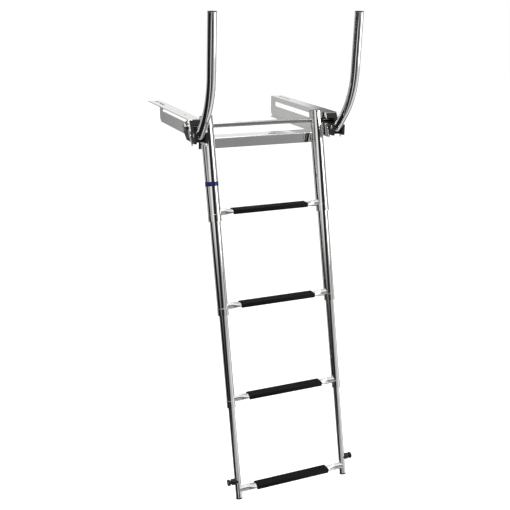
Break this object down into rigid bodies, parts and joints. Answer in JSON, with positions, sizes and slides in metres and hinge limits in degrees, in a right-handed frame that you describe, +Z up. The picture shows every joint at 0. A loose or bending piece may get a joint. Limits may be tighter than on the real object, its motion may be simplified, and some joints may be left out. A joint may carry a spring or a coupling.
{
  "type": "boat boarding ladder",
  "caption": "Under-platform telescoping boarding ladder of polished steel tube, with padded treads, slide-in rails, cross brace and two folding hand rails.",
  "frame": {"origin": "midway between the two front mounting holes, on the top faces of the rail flanges, which meet the underside of the platform", "axes": "+Z up, +Y towards the boat along the rails, +X to the right of a person facing the boat"},
  "size_m": [0.491, 0.6549, 1.391],
  "materials": {
    "polished_tube": "mirror-polished stainless steel tube",
    "polished_sheet": "polished stainless steel sheet",
    "fasteners": "turned stainless steel",
    "oval_plate": "satin stainless steel",
    "guide_nylon": "black nylon",
    "bush_nylon": "black nylon",
    "tread_pad": "black ribbed non-slip plastic",
    "end_cap": "black moulded plastic",
    "knob_plastic": "black nylon",
    "marker_band": "dark blue wrapped tape"
  },
  "bodies": {
    "mounting_frame": {"blank_oval_plate": "oval_plate", "brace_bolts": "fasteners", "cross_brace": "polished_sheet", "guide_rivets": "fasteners", "left_lower_guide": "guide_nylon", "left_rail": "polished_sheet", "left_upper_guide": "guide_nylon", "right_lower_guide": "guide_nylon", "right_rail": "polished_sheet", "right_upper_guide": "guide_nylon"},
    "top_section": {"collars_1": "polished_tube", "left_stile_1": "polished_tube", "marker_band": "marker_band", "pivot_bushes": "bush_nylon", "pivot_rod": "polished_tube", "right_stile_1": "polished_tube", "rod_nuts": "fasteners", "slide_bushes_1": "bush_nylon", "stile_caps": "end_cap", "stop_screws": "fasteners", "tread_1": "polished_tube", "tread_1_pad": "tread_pad"},
    "section_2": {"collars_2": "polished_tube", "left_stile_2": "polished_tube", "right_stile_2": "polished_tube", "slide_bushes_2": "bush_nylon", "stop_rings_2": "bush_nylon", "tread_2": "polished_tube", "tread_2_pad": "tread_pad"},
    "section_3": {"collars_3": "polished_tube", "left_stile_3": "polished_tube", "right_stile_3": "polished_tube", "slide_bushes_3": "bush_nylon", "stop_rings_3": "bush_nylon", "tread_3": "polished_tube", "tread_3_pad": "tread_pad"},
    "section_4": {"catch_knobs": "knob_plastic", "feet": "end_cap", "knob_screws": "fasteners", "left_stile_4": "polished_tube", "right_stile_4": "polished_tube", "stop_rings_4": "bush_nylon", "tread_4": "polished_tube", "tread_4_pad": "tread_pad"},
    "left_grab_rail": {"left_hand_rail": "polished_tube", "left_hand_rail_cap": "end_cap", "left_hand_rail_foot": "polished_tube", "left_hand_rail_pin": "fasteners"},
    "right_grab_rail": {"right_hand_rail": "polished_tube", "right_hand_rail_cap": "end_cap", "right_hand_rail_foot": "polished_tube", "right_hand_rail_pin": "fasteners"}
  },
  "joints": [
    {"name": "ladder_swing", "type": "hinge", "parent": "mounting_frame", "child": "top_section", "pos_m": [0, -0.0663, -0.0232], "axis": [-1, 0, 0], "range_deg": [0, 75.6]},
    {"name": "section_2_slide", "type": "slide", "parent": "top_section", "child": "section_2", "axis": [0, 0.2487, 0.9686], "range_m": [0, 0.235]},
    {"name": "section_3_slide", "type": "slide", "parent": "section_2", "child": "section_3", "axis": [0, 0.2487, 0.9686], "range_m": [0, 0.238]},
    {"name": "section_4_slide", "type": "slide", "parent": "section_3", "child": "section_4", "axis": [0, 0.2487, 0.9686], "range_m": [0, 0.2125]},
    {"name": "left_hand_rail_fold", "type": "hinge", "parent": "mounting_frame", "child": "left_grab_rail", "pos_m": [-0.2165, -0.127, -0.038], "axis": [1, 0, 0], "range_deg": [0, 118]},
    {"name": "right_hand_rail_fold", "type": "hinge", "parent": "mounting_frame", "child": "right_grab_rail", "pos_m": [0.2165, -0.127, -0.038], "axis": [1, 0, 0], "range_deg": [0, 118]}
  ]
}
